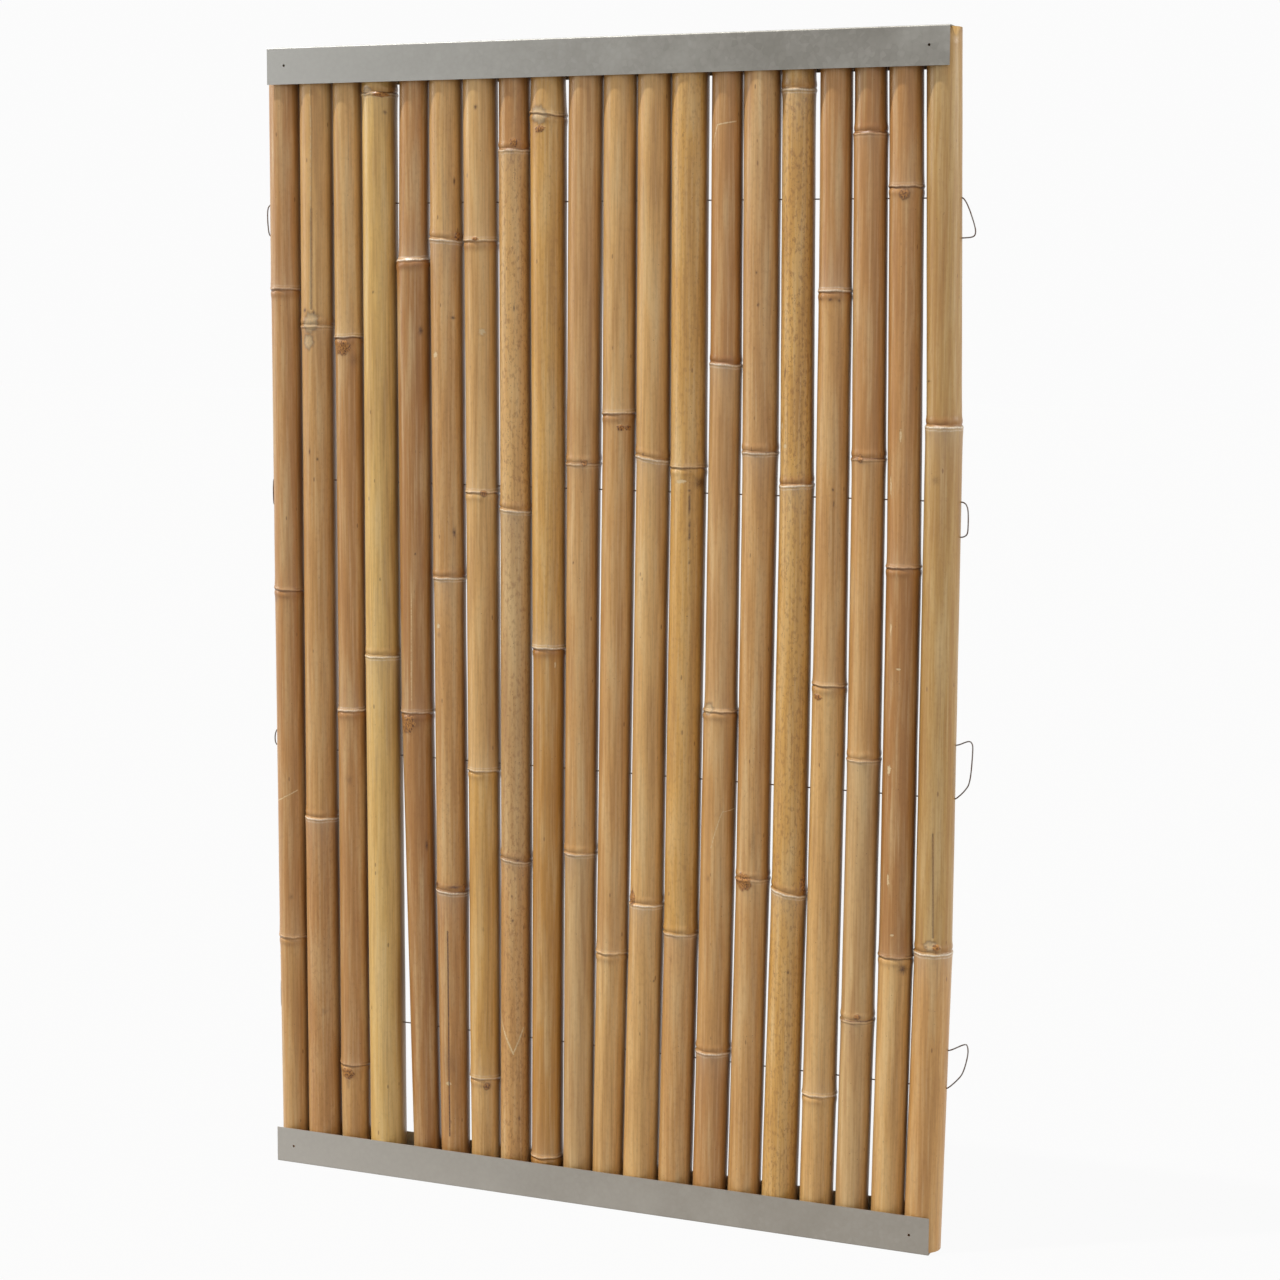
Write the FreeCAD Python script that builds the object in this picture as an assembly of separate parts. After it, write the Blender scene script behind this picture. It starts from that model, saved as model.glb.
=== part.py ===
# Bamboo fence panel: canes standing between two folded zinc channels, threaded on four wires
# All sizes are in millimetres. X runs along the rails, Y is the panel's depth with the front at -Y, Z is up.
# The origin lies under the middle of the bottom rail.
import os
import math
import FreeCAD
import Part

# Panel
PANEL_H = 1800.0          # height over both rails
CANE_D = 52.0             # nominal thickness of a cane
CANE_GAP = 1.3            # free space left where two neighbours come nearest
RAIL_START = 16.0         # from the rails' left end to the first cane's axis
RAIL_FINISH = 5.0         # from the last cane's axis to the rails' right end

# Folded channels
SHEET = 1.5               # sheet thickness
FOLD_R = 1.0              # inside radius of a fold
FLANGE_H = 57.0           # height of a flange, over the web
CHANNEL_PLAY = 1.0        # free width left beside the thickest cane
SCREW_D = 4.0             # screw holes near the ends of the front flanges
SCREW_INSET = 30.0        # from a rail's end to its screw hole
SCREW_UP = 28.0           # from a web's outer face to the screw hole

# Nodes of the canes
NODE_PROUD = 1.8          # how far a node stands out from the thicker of its neighbours
NODE_HALF = 4.0           # half the height of a node's ring

# Wires
WIRE_D = 2.0              # wire thickness
WIRE_PLAY = 0.3           # width of a drilled hole over the wire
WIRE_FOOT = 249.0         # height of the lowest wire
WIRE_HEAD = 242.0         # from the panel's top to the highest wire
TAIL_DEPTH = 15.0         # how far a wire's bent end is pushed back into the outer cane
TAIL_ROOM = 1.0           # free depth left beyond a wire's end

# Flats that stand for a round section, few enough to keep twenty canes light
CULM_SIDES = 24
WIRE_SIDES = 8
DRILL_SIDES = 6

# The canes from left to right, as they grew: how far foot and head lean from the middle of the cane,
# by how much each length between two nodes differs from the nominal thickness at its lower and its upper
# end, and the nodes' heights
CANES = [
    ((4, -1), ((-7, -5), (-4, -3), (-3, -2), (-1, -1)), (375, 945, 1425)),
    ((3, 0), ((5, 4), (2, 1), (2, 3)), (575, 1365)),
    ((2, -2), ((-5, -4), (-3, -4), (-6, -6), (-5, -4)), (175, 755, 1350)),
    ((5, -2), ((6, 6), (5, 3), (3, 3)), (845, 1725)),
    ((17, 0), ((-8, -1), (0, 3), (-4, -5)), (760, 1470)),
    ((8, -5), ((-7, -1), (-1, -2), (0, 1), (1, 1)), (475, 975, 1500)),
    ((4, -5), ((-5, -4), (-2, -2), (0, 0), (0, 1), (2, 2)), (180, 675, 1113, 1500)),
    ((-1, -4), ((-3, -3), (-3, -2), (-2, -2), (-3, -3)), (535, 1085, 1635)),
    ((-3, -4), ((-2, -2), (-3, -1), (1, 4), (3, -1)), (65, 875, 1690)),
    ((-5, 4), ((-4, -2), (-1, 0), (1, 2)), (555, 1160)),
    ((-13, 2), ((-3, -2), (-2, -1), (0, 0)), (405, 1240)),
    ((-14, 1), ((4, 2), (0, 0), (1, 0)), (485, 1172)),
    ((-14, 0), ((1, 1), (2, 2), (3, 4)), (445, 1162)),
    ((-14, 1), ((1, 1), (1, 1), (-2, -4), (-5, -5)), (265, 795, 1315)),
    ((-14, -1), ((-1, -1), (-1, 1), (2, 4)), (540, 1185)),
    ((-15, -4), ((3, 2), (1, -1), (-2, -3), (-2, -2)), (525, 1138, 1715)),
    ((-12, -2), ((-1, -1), (-1, -1), (-2, -3), (-4, -4)), (220, 845, 1425)),
    ((-11, -6), ((-2, -2), (-2, -2), (-2, -2), (-2, -2), (-4, -5)), (340, 735, 1180, 1650)),
    ((-10, -9), ((-1, -1), (-1, -1), (-2, -2), (-2, -2)), (445, 1025, 1575)),
    ((-13, -11), ((4, 4), (3, 2), (-1, -1)), (455, 1230)),
]

# How the wires are bent beyond the outer canes, from the lowest wire to the highest. Each corner is given
# from the point where the wire leaves the cane, as the reach away from the panel and the rise along Z.
# The last corner gives the height at which the end goes back into the cane.
LEFT_LOOPS = [
    ((2.0, 0), (3.5, 4), (3.5, 45), (2.0, 49)),
    ((2.5, 0), (7.5, 5), (7.5, 19), (3.0, 28)),
    ((2.5, 0), (4.5, -6), (4.5, -38), (2.5, -44)),
    ((3.5, 0), (9.5, -8), (7.5, -45), (3.0, -51)),
]
RIGHT_LOOPS = [
    ((2.0, 0), (16.0, 14), (25.0, 26), (32.0, 55), (31.0, 68), (27.0, 71), (5.0, 58)),
    ((2.0, 0), (16.0, 14), (23.0, 27), (26.0, 75), (25.0, 84), (20.0, 88), (4.0, 80)),
    ((4.0, 0), (9.0, -4), (11.5, -14), (11.5, -42), (9.5, -48), (4.0, -51)),
    ((2.5, 0), (10.0, -12), (20.0, -40), (21.5, -50), (18.5, -56), (4.0, -57)),
]

V = FreeCAD.Vector
FOOT = SHEET
HEAD = PANEL_H - SHEET
THICKEST = CANE_D + max(max(length) for cane in CANES for length in cane[1])
CHANNEL_W = THICKEST + CHANNEL_PLAY
RAIL_D = CHANNEL_W + 2 * SHEET
WIRE_STEP = (PANEL_H - WIRE_HEAD - WIRE_FOOT) / (len(RIGHT_LOOPS) - 1)
WIRES = [WIRE_FOOT + WIRE_STEP * i for i in range(len(RIGHT_LOOPS))]


# Outline of a cane
def sway(lean, z):
    # Sideways place of a cane's axis at a height, on a curve through its foot, middle and head
    foot, head = lean
    u = z / PANEL_H
    return foot * (1 - u) * (1 - 2 * u) + head * u * (2 * u - 1)


def culm_sections(cane):
    # Heights at which the cane changes direction or thickness, each with the axis' place and the radius
    lean, grown, nodes = cane
    nodes = [z for z in nodes if FOOT + NODE_HALF < z < HEAD - NODE_HALF]
    radii = [[(CANE_D + d) / 2 for d in length] for length in grown]
    rows = [(FOOT, sway(lean, FOOT), radii[0][0])]
    for z, below, above in zip(nodes, radii[:-1], radii[1:]):
        x = sway(lean, z)
        ring = max(below[1], above[0]) + NODE_PROUD
        rows.append((z - NODE_HALF, x, below[1]))
        rows.append((z, x, ring))
        rows.append((z + NODE_HALF, x, above[0]))
    rows.append((HEAD, sway(lean, HEAD), radii[len(nodes)][1]))
    return rows


def at_height(rows, z):
    # Place and radius of a cane at any height, on the straight lines between its sections
    for (z0, x0, r0), (z1, x1, r1) in zip(rows[:-1], rows[1:]):
        if z <= z1:
            break
    t = (z - z0) / (z1 - z0)
    return x0 + t * (x1 - x0), r0 + t * (r1 - r0)


def nearest(left, right):
    # How far apart the axes must stand for two neighbours to touch at one height and clear at the rest
    apart = 0.0
    for z in [row[0] for row in left + right]:
        xl, rl = at_height(left, z)
        xr, rr = at_height(right, z)
        apart = max(apart, xl + rl - xr + rr)
    return apart


# Each cane is pushed up to its neighbour, and the rails are cut to the row's length
def set_out(rows):
    places = [0.0]
    for left, right in zip(rows[:-1], rows[1:]):
        places.append(places[-1] + nearest(left, right) + CANE_GAP)
    return places


SECTIONS = [culm_sections(cane) for cane in CANES]
PLACES = set_out(SECTIONS)
RAIL_L = RAIL_START + PLACES[-1] + RAIL_FINISH
FIRST_X = RAIL_START - RAIL_L / 2
STANDING = [[(z, FIRST_X + place + x, r) for z, x, r in rows] for place, rows in zip(PLACES, SECTIONS)]


def flank(rows, z, side):
    # Place of a cane's left (-1) or right (1) flank at a height
    x, r = at_height(rows, z)
    return x + side * r


def tail_height(loop, z):
    return z + loop[-1][1]


# Solids
def flats(n, r, turn):
    # Corners of an n-sided section whose flats lie at the radius r
    angles = [2 * math.pi * (i + turn) / n for i in range(n)]
    return [(r * math.cos(a) / math.cos(math.pi / n), r * math.sin(a) / math.cos(math.pi / n)) for a in angles]


def face(points):
    return Part.Face(Part.makePolygon(points + points[:1]))


def skin(rings):
    # Closed solid through a row of rings, with a flat face between each pair of corners
    faces = [face(rings[0]), face(rings[-1])]
    for low, high in zip(rings[:-1], rings[1:]):
        for i in range(len(low)):
            faces.append(face([low[i - 1], low[i], high[i], high[i - 1]]))
    return Part.Solid(Part.Shell(faces))


def drill(start, depth, side, z):
    # Few-sided bar along X that takes out a wire's hole
    section = [V(start, y, z + up) for y, up in flats(DRILL_SIDES, (WIRE_D + WIRE_PLAY) / 2, 0)]
    return face(section).extrude(V(-side * depth, 0, 0))


def make_cane(index):
    rows = STANDING[index]
    culm = skin([[V(x + dx, dy, z) for dx, dy in flats(CULM_SIDES, r, 0.5)] for z, x, r in rows])
    reach = 2 * THICKEST
    holes = [drill(rows[0][1] + reach, 2 * reach, 1, z) for z in WIRES]
    for at, side, loops in ((0, -1, LEFT_LOOPS), (len(CANES) - 1, 1, RIGHT_LOOPS)):
        if index != at:
            continue
        for loop, z in zip(loops, WIRES):
            up = tail_height(loop, z)
            mouth = flank(rows, up, side) + side * TAIL_DEPTH
            holes.append(drill(mouth, 2 * TAIL_DEPTH + TAIL_ROOM, side, up))
    return culm.cut(holes)


def loop_points(side, loop, z):
    # A loop's corners from the cane outwards, ending inside the cane where the wire's end stops
    rows = STANDING[-1] if side > 0 else STANDING[0]
    edge = flank(rows, z, side)
    points = [V(edge + side * reach, 0, z + rise) for reach, rise in loop]
    up = tail_height(loop, z)
    points.append(V(flank(rows, up, side) - side * TAIL_DEPTH, 0, up))
    return points


def mitred(points):
    # Sections of a wire along its corners, each turned halfway between the lengths that meet there
    ways = [(b - a).normalize() for a, b in zip(points[:-1], points[1:])]
    rings = []
    for p, before, after in zip(points, ways[:1] + ways, ways + ways[-1:]):
        along = (before + after).normalize()
        across = V(-along.z, 0, along.x) / along.dot(before)
        rings.append([p + V(0, dy, 0) + across * dz for dy, dz in flats(WIRE_SIDES, WIRE_D / 2, 0.5)])
    return rings


def make_wire(z, left, right):
    # One length of wire: through all canes, with a loop bent at either end and its ends pushed back in
    return skin(mitred(list(reversed(loop_points(-1, left, z))) + loop_points(1, right, z)))


def make_rail():
    # The bottom channel: its folded section along X, with a screw hole near either end of the front flange
    y = RAIL_D / 2
    yi = y - SHEET
    ro = FOLD_R + SHEET
    c = yi - FOLD_R
    s = math.sqrt(0.5)
    edges = [
        Part.makeLine(V(0, -y, FLANGE_H), V(0, -y, ro)),
        Part.Arc(V(0, -y, ro), V(0, -c - ro * s, ro - ro * s), V(0, -c, 0)).toShape(),
        Part.makeLine(V(0, -c, 0), V(0, c, 0)),
        Part.Arc(V(0, c, 0), V(0, c + ro * s, ro - ro * s), V(0, y, ro)).toShape(),
        Part.makeLine(V(0, y, ro), V(0, y, FLANGE_H)),
        Part.makeLine(V(0, y, FLANGE_H), V(0, yi, FLANGE_H)),
        Part.makeLine(V(0, yi, FLANGE_H), V(0, yi, ro)),
        Part.Arc(V(0, yi, ro), V(0, c + FOLD_R * s, ro - FOLD_R * s), V(0, c, SHEET)).toShape(),
        Part.makeLine(V(0, c, SHEET), V(0, -c, SHEET)),
        Part.Arc(V(0, -c, SHEET), V(0, -c - FOLD_R * s, ro - FOLD_R * s), V(0, -yi, ro)).toShape(),
        Part.makeLine(V(0, -yi, ro), V(0, -yi, FLANGE_H)),
        Part.makeLine(V(0, -yi, FLANGE_H), V(0, -y, FLANGE_H)),
    ]
    rail = Part.Face(Part.Wire(edges)).extrude(V(RAIL_L, 0, 0))
    rail.translate(V(-RAIL_L / 2, 0, 0))
    x = RAIL_L / 2 - SCREW_INSET
    for side in (-1, 1):
        hole = Part.makeCylinder(SCREW_D / 2, 3 * SHEET, V(side * x, -y - SHEET, SCREW_UP), V(0, 1, 0))
        rail = rail.cut(hole)
    return rail


def turned_over(rail):
    # The same channel as the top rail, mirrored so that its front flange stays in front
    return rail.mirror(V(0, 0, PANEL_H / 2), V(0, 0, 1))


# Build and write out
bottom = make_rail()
parts = {"bottom_rail": bottom, "top_rail": turned_over(bottom)}
for i in range(len(CANES)):
    parts["cane_%02d" % (i + 1)] = make_cane(i)
for i, z in enumerate(WIRES):
    parts["wire_%d" % (i + 1)] = make_wire(z, LEFT_LOOPS[i], RIGHT_LOOPS[i])

os.makedirs("parts", exist_ok=True)
for name, shape in parts.items():
    shape.exportStep("parts/" + name + ".step")
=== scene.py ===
# %% [markdown]
# # A bamboo fence panel
# The CAD model gives every size of the panel, so it is loaded first, and each piece made here is worked out
# from it.

# %% Load the frame
import bpy
import math
import numpy as np
from mathutils import Matrix, Vector


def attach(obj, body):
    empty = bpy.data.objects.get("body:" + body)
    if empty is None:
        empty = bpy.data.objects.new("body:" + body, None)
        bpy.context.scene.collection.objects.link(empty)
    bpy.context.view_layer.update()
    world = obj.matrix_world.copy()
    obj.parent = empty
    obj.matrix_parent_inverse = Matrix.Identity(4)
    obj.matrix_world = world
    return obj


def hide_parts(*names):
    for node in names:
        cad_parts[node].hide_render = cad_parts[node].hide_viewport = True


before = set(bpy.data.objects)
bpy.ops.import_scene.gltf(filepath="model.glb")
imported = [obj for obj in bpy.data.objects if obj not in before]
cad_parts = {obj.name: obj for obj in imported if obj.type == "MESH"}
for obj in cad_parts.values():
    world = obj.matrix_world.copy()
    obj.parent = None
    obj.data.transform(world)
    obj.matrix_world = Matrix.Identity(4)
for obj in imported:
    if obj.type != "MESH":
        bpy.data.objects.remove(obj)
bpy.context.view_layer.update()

# %% [markdown]
# ## The camera
# The photograph was taken with a fairly long lens from the right of the panel, at chest height. A camera
# can be set by a place and three turns; here they are made into three axes, so that it is plain which way
# it looks. A small vertical shift keeps the upright canes nearly upright, as a photographer does.

# %% Camera
CAMERA_PLACE = (1.46997, -3.55436, 1.41261)
YAW, PITCH, ROLL = math.radians(21.47), math.radians(6.0), math.radians(-0.306)
FOCAL_LENGTH, SENSOR_WIDTH = 70.89, 36
SHIFT_Y = -0.06


def camera_axes(yaw, pitch, roll):
    """Right, up and back of a camera that looks along +Y, turned left by yaw, down by pitch and rolled."""
    ahead = Vector((-math.sin(yaw) * math.cos(pitch), math.cos(yaw) * math.cos(pitch), -math.sin(pitch)))
    level = Vector((math.cos(yaw), math.sin(yaw), 0))
    down = ahead.cross(level)
    right = math.cos(roll) * level + math.sin(roll) * down
    up = math.sin(roll) * level - math.cos(roll) * down
    return right, up, -ahead


lens = bpy.data.cameras.new("camera")
lens.sensor_width = SENSOR_WIDTH
lens.lens = FOCAL_LENGTH
lens.shift_y = SHIFT_Y
camera = bpy.data.objects.new("camera", lens)
bpy.context.scene.collection.objects.link(camera)
turn = Matrix(camera_axes(YAW, PITCH, ROLL)).transposed().to_4x4()
camera.matrix_world = Matrix.Translation(CAMERA_PLACE) @ turn
bpy.context.scene.camera = camera
bpy.context.scene.view_settings.view_transform = "Standard"
print("camera", lens.lens, "mm")


# %% [markdown]
# ## Helpers for materials
# Colours are written as the hex values a paint chart gives. Those are sRGB, and the shader wants linear
# light. Nodes could be placed by hand in Blender's editor; here one function adds a node, sets it and links
# it, so that a material reads as a short list.

# %% Colour and node helpers
def linear(code, alpha=1.0):
    """sRGB hex to linear: the lowest tones are divided by 12.92, the rest follow the 2.4 power."""
    parts = [int(code[i:i + 2], 16) / 255 for i in (1, 3, 5)]
    return tuple(c / 12.92 if c <= 0.04045 else ((c + 0.055) / 1.055) ** 2.4 for c in parts) + (alpha,)


def add(tree, kind, settings=None, inputs=None):
    """A new node of a kind. Settings are its own properties; inputs are values or other nodes' outputs."""
    made = tree.nodes.new(kind)
    for name, value in (settings or {}).items():
        setattr(made, name, value)
    for name, value in (inputs or {}).items():
        if isinstance(value, bpy.types.NodeSocket):
            tree.links.new(value, made.inputs[name])
        else:
            made.inputs[name].default_value = value
    return made


def blank_material(name):
    """A material with only its output node, and that output."""
    material = bpy.data.materials.new(name)
    material.use_nodes = True
    material.node_tree.nodes.clear()
    return material, material.node_tree, material.node_tree.nodes.new("ShaderNodeOutputMaterial")


WHITE = linear("#FFFFFF")
print("white", WHITE)


# %% [markdown]
# ## Light
# The panel stands in a white studio. A high lamp far on the left throws the top rail's shadow on the canes
# in small arches, and a low soft one beside it draws the pale strip left of each cane's middle. A broad
# fill in front on the right lights the rest evenly, and one on the right gives the outer cane its light
# edge. Suns are used instead of nearby lamps, because they light a tall panel alike from head to foot.

# %% Lights
def sun(name, azimuth, height, strength, softness):
    """A sun that stands at an azimuth to the left of the panel's front and at a height above the horizon."""
    a, h = math.radians(azimuth), math.radians(height)
    towards = Vector((-math.sin(a) * math.cos(h), -math.cos(a) * math.cos(h), math.sin(h)))
    lamp = bpy.data.lights.new(name, "SUN")
    lamp.energy = strength
    lamp.angle = math.radians(softness)
    made = bpy.data.objects.new(name, lamp)
    made.rotation_euler = towards.to_track_quat("Z", "Y").to_euler()
    bpy.context.scene.collection.objects.link(made)


# Azimuth and height in degrees, strength, and softness: how wide the sun looks, in degrees
sun("high_lamp", 58, 65, 3.5, 2.0)
sun("low_soft_lamp", 80, 15, 0.8, 26)
sun("broad_fill", -25, 25, 0.85, 90)
sun("right_lamp", 262, 20, 1.3, 24)


# %% [markdown]
# ## Sky and floor
# Behind the panel there is nothing but white. More light would make the floor white and the canes pale, so
# the Light Path node tells the camera's rays from the rest: to them sky and floor are white, while the
# object is lit at a plain level. A small part of the floor stays a lit grey, which keeps the panel's
# shadow.

# %% Sky and floor
# The sky's strength as it lights the object, and as it is seen: level with the floor, so no horizon shows
SKY_LIGHT, SKY_SEEN = 0.14, 0.968
# The part of the floor that is plain white to the camera, and how far the floor goes to each side in metres
FLOOR_WHITE, FLOOR_REACH = 0.95, 30.0


def seen_directly(tree):
    """1 for rays straight to the camera, off a glossy face or through a clear one, and 0 for the rest."""
    path = add(tree, "ShaderNodeLightPath")
    either = add(tree, "ShaderNodeMath", {"operation": "MAXIMUM"},
                 {0: path.outputs["Is Camera Ray"], 1: path.outputs["Is Glossy Ray"]})
    return add(tree, "ShaderNodeMath", {"operation": "MAXIMUM"},
               {0: either.outputs[0], 1: path.outputs["Is Transmission Ray"]}).outputs[0]


sky = bpy.data.worlds.new("sky")
bpy.context.scene.world = sky
sky.use_nodes = True
sky.node_tree.nodes.clear()
level = add(sky.node_tree, "ShaderNodeMix", {}, {
    0: seen_directly(sky.node_tree), 2: SKY_LIGHT, 3: SKY_SEEN})
light = add(sky.node_tree, "ShaderNodeBackground", {}, {"Color": WHITE, "Strength": level.outputs[0]})
add(sky.node_tree, "ShaderNodeOutputWorld", {}, {"Surface": light.outputs[0]})

pale_floor, tree, out = blank_material("pale_studio_floor")
share = add(tree, "ShaderNodeMath", {"operation": "MULTIPLY"}, {0: seen_directly(tree), 1: FLOOR_WHITE})
matt = add(tree, "ShaderNodeBsdfDiffuse", {}, {"Color": linear("#8E8B87")})
glow = add(tree, "ShaderNodeEmission", {}, {"Color": WHITE, "Strength": 1.0})
both = add(tree, "ShaderNodeMixShader", {}, {0: share.outputs[0], 1: matt.outputs[0], 2: glow.outputs[0]})
tree.links.new(both.outputs[0], out.inputs["Surface"])

floor_mesh = bpy.data.meshes.new("floor")
corners = [(x * FLOOR_REACH, y * FLOOR_REACH, 0) for x, y in ((-1, -1), (1, -1), (1, 1), (-1, 1))]
floor_mesh.from_pydata(corners, [], [(0, 1, 2, 3)])
floor_mesh.materials.append(pale_floor)
floor = bpy.data.objects.new("floor", floor_mesh)
bpy.context.scene.collection.objects.link(floor)
print("floor", 2 * FLOOR_REACH, "m wide")


# %% [markdown]
# ## What the CAD knows about each cane
# The CAD cane is a many-sided bar whose rings stand at the foot, at the head and at three heights about
# each node. The canes' places could be written down again here; instead they are read from those rings, so
# that the dressed cane always stands where the solid does.

# %% Read the canes
# A ring has at least this many corners at one height; a hole for a wire has fewer
RING_CORNERS = 20


def cane_rings(node):
    """Heights, axis places and radii of a CAD cane's rings: the heights at which it has corners all round."""
    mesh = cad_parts[node].data
    points = np.zeros(len(mesh.vertices) * 3)
    mesh.vertices.foreach_get("co", points)
    points = points.reshape(-1, 3)
    keys = np.round(points * 1e5).astype(int)
    points = points[np.unique(keys, axis=0, return_index=True)[1]]
    heights = np.round(points[:, 2], 5)
    levels, counts = np.unique(heights, return_counts=True)
    rings = []
    for z in levels[counts >= RING_CORNERS]:
        x = points[np.abs(heights - z) < 1e-6, 0]
        rings.append((z, (x.min() + x.max()) / 2, (x.max() - x.min()) / 2))
    return np.array(rings)


CANES = {name: cane_rings(name) for name in sorted(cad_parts) if name.startswith("cane_")}
for name, rings in CANES.items():
    print(name, "nodes at", [round(float(z), 3) for z in rings[2:-1:3, 0]])

# %% [markdown]
# ## The tones of dried bamboo
# Every cane was dried and stored for months, so no two have the same colour, and a cane changes tone at its
# nodes. A picture of bamboo laid on the canes would repeat itself. Instead a few tones are mixed, and each
# cane lists a tone for every length between two nodes, with how much it is mottled and flecked with mould.

# %% Tones of each length
TONES = {
    "straw": "#E0B668",
    "light": "#D9AA67",
    "golden": "#D4A254",
    "honey": "#C08A3D",
    "tan": "#CC9A5A",
    "pink": "#CB9B5F",
    "brown": "#C08B4E",
    "umber": "#B07B3F",
    "grey": "#CBA269",
    "olive": "#BB9252",
}
# Per cane, and per length from foot to head: its tone, and how mottled it is from 0 to 1
LENGTHS = [
    [("tan", 0.1), ("brown", 0.15), ("brown", 0.1), ("brown", 0.1)],
    [("brown", 0.35), ("tan", 0.15), ("light", 0.1)],
    [("tan", 0.2), ("brown", 0.15), ("brown", 0.1), ("light", 0.1)],
    [("straw", 0.05), ("straw", 0.05), ("straw", 0.05)],
    [("umber", 0.25), ("umber", 0.15), ("brown", 0.15)],
    [("brown", 0.25), ("tan", 0.25), ("tan", 0.2), ("light", 0.15)],
    [("light", 0.15), ("golden", 0.1), ("light", 0.1), ("light", 0.1), ("light", 0.05)],
    [("tan", 0.8), ("grey", 0.7), ("light", 0.8), ("brown", 0.3)],
    [("honey", 0.1), ("honey", 0.1), ("golden", 0.2), ("golden", 0.1)],
    [("grey", 0.1), ("tan", 0.1), ("pink", 0.1)],
    [("light", 0.1), ("tan", 0.1), ("light", 0.1)],
    [("light", 0.15), ("light", 0.1), ("light", 0.1)],
    [("tan", 0.2), ("golden", 0.3), ("golden", 0.4)],
    [("brown", 0.1), ("tan", 0.1), ("pink", 0.1), ("brown", 0.1)],
    [("tan", 0.15), ("tan", 0.2), ("pink", 0.2)],
    [("golden", 0.7), ("golden", 0.7), ("golden", 0.9), ("golden", 0.3)],
    [("light", 0.15), ("light", 0.15), ("tan", 0.15), ("brown", 0.1)],
    [("grey", 0.1), ("grey", 0.1), ("tan", 0.1), ("brown", 0.1), ("umber", 0.1)],
    [("light", 0.1), ("umber", 0.2), ("brown", 0.15), ("brown", 0.1)],
    [("tan", 0.1), ("olive", 0.15), ("olive", 0.1)],
]
print(len(TONES), "tones for", sum(len(lengths) for lengths in LENGTHS), "lengths")

# %% [markdown]
# ## How each node looks
# A leaf sheath once clasped the culm at every node. It left a pale scar line, often with a thin dark line
# beside it, and a brown band on the side towards the culm's tip. Some canes stand on their tips, so the
# band lies above the line on one and below it on another. Random numbers could vary the nodes; here each
# node gets its own, judged from the photograph.

# %% Nodes of each cane
# Per node, foot to head: 1 for grown upwards or -1, the brown band (below 0: pale), the pale line, the dark
# line beside it, each from 0 to 1, and by how many millimetres the ring rises from left to right
NODES = [
    [(-1, 0.35, 0.15, 0.3, 0), (-1, 0.5, 0.1, 0.6, -3), (-1, 0.55, 0.35, 0.5, 0)],
    [(1, 0.4, 0.8, 0.1, 0), (1, 0.4, 0.3, 0.3, 0)],
    [(-1, 0.2, 0.1, 0.7, 0), (-1, 0.5, 0.7, 0.2, 2), (-1, 0.4, 0.5, 0.9, 2)],
    [(1, 0.35, 0.8, 0.5, 0), (1, 0.5, 0.4, 0.8, 0)],
    [(-1, 0.7, 0.4, 0.3, 0), (-1, 0.75, 0.9, 0.2, 3)],
    [(1, 0.6, 0.95, 0.7, -3), (1, 0.55, 0.95, 0.2, 0), (1, 0.5, 0.8, 0.2, -5)],
    [(-1, 0.25, 0.45, 0.2, 0), (-1, 0.15, 0.5, 0.3, 0), (-1, -0.6, 0.4, 0.6, 0), (-1, 0.5, 0.45, 0.4, 0)],
    [(1, 0.5, 0.5, 0.6, -6), (1, 0.5, 0.7, 0.2, -3), (1, 0.35, 0.6, 0.5, 0)],
    [(-1, 0.3, 0.3, 0.3, 0), (-1, 0.6, 0.9, 0.3, 0), (-1, 0.2, 0.2, 0.8, -6)],
    [(1, -0.35, 0.5, 0.3, 0), (1, 0.2, 0.3, 0.6, 0)],
    [(-1, 0.3, 0.2, 0.3, 0), (-1, 0.5, 0.4, 0.5, 3)],
    [(1, 0.25, 0.8, 0.1, 0), (1, 0.35, 0.85, 0.3, -8)],
    [(1, 0.25, 0.5, 0.4, 0), (-1, -0.3, 0.2, 0.8, 0)],
    [(1, 0.35, 0.7, 0.2, 0), (-1, 0.35, 0.2, 0.6, 0), (1, 0.85, 0.85, 0.3, -3)],
    [(1, 0.35, 0.2, 0.5, 0), (1, 0.35, 0.8, 0.6, 0)],
    [(1, 0.5, 0.95, 0.3, -11), (1, 0.7, 0.95, 0.2, 3), (1, 0.5, 0.95, 0.4, 0)],
    [(-1, 0.15, 0.5, 0.2, 0), (-1, 0.4, 0.2, 0.7, -2), (-1, 0.6, 0.8, 0.5, 0)],
    [(1, 0.1, 0.15, 0.9, 0), (1, 0.1, 0.3, 0.5, 0), (1, 0.2, 0.15, 0.8, 0), (1, 0.45, 0.2, 0.7, 0)],
    [(-1, 0.1, 0.15, 0.9, 0), (-1, 0.2, 0.2, 0.7, 0), (-1, 0.15, 0.3, 0.9, 0)],
    [(1, 0.45, 0.95, 0.2, 0), (1, 0.7, 0.95, 0.2, 0)],
]
print(sum(len(nodes) for nodes in NODES), "nodes")

# %% [markdown]
# ## Knots, scars and scratches
# Branches were cut off at the nodes and left knots and crumbly bud remains; rubbing and drying left scars,
# chips, dark spots, a crack and a few scratches. They could be painted on from the camera's side, but then
# they would smear on the flanks. So each is set down by its angle round the cane from the front, its
# height, and its width and length, and it stays on the skin from any side. One pale line, drawn as a scratch
# beside the groove of the second cane, is a painted highlight on the groove's lit side.

# %% Marks on the canes
# What each kind does: how far it is raised in millimetres, and its dark rim, dark middle, pale middle and
# crumbly middle, each from 0 to 1
KINDS = {
    "knot": (0.8, 0.9, 0.5, 0.0, 0.45),
    "bud": (1.0, 0.4, 0.25, 0.0, 1.0),
    "scar": (-0.4, 0.55, 0.0, 0.9, 0.2),
    "chip": (-0.15, 0.1, 0.0, 0.68, 0.0),
    "spot": (0.0, 0.0, 1.0, 0.0, 0.0),
    "smudge": (0.0, 0.0, 0.4, 0.0, 0.0),
}
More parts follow.
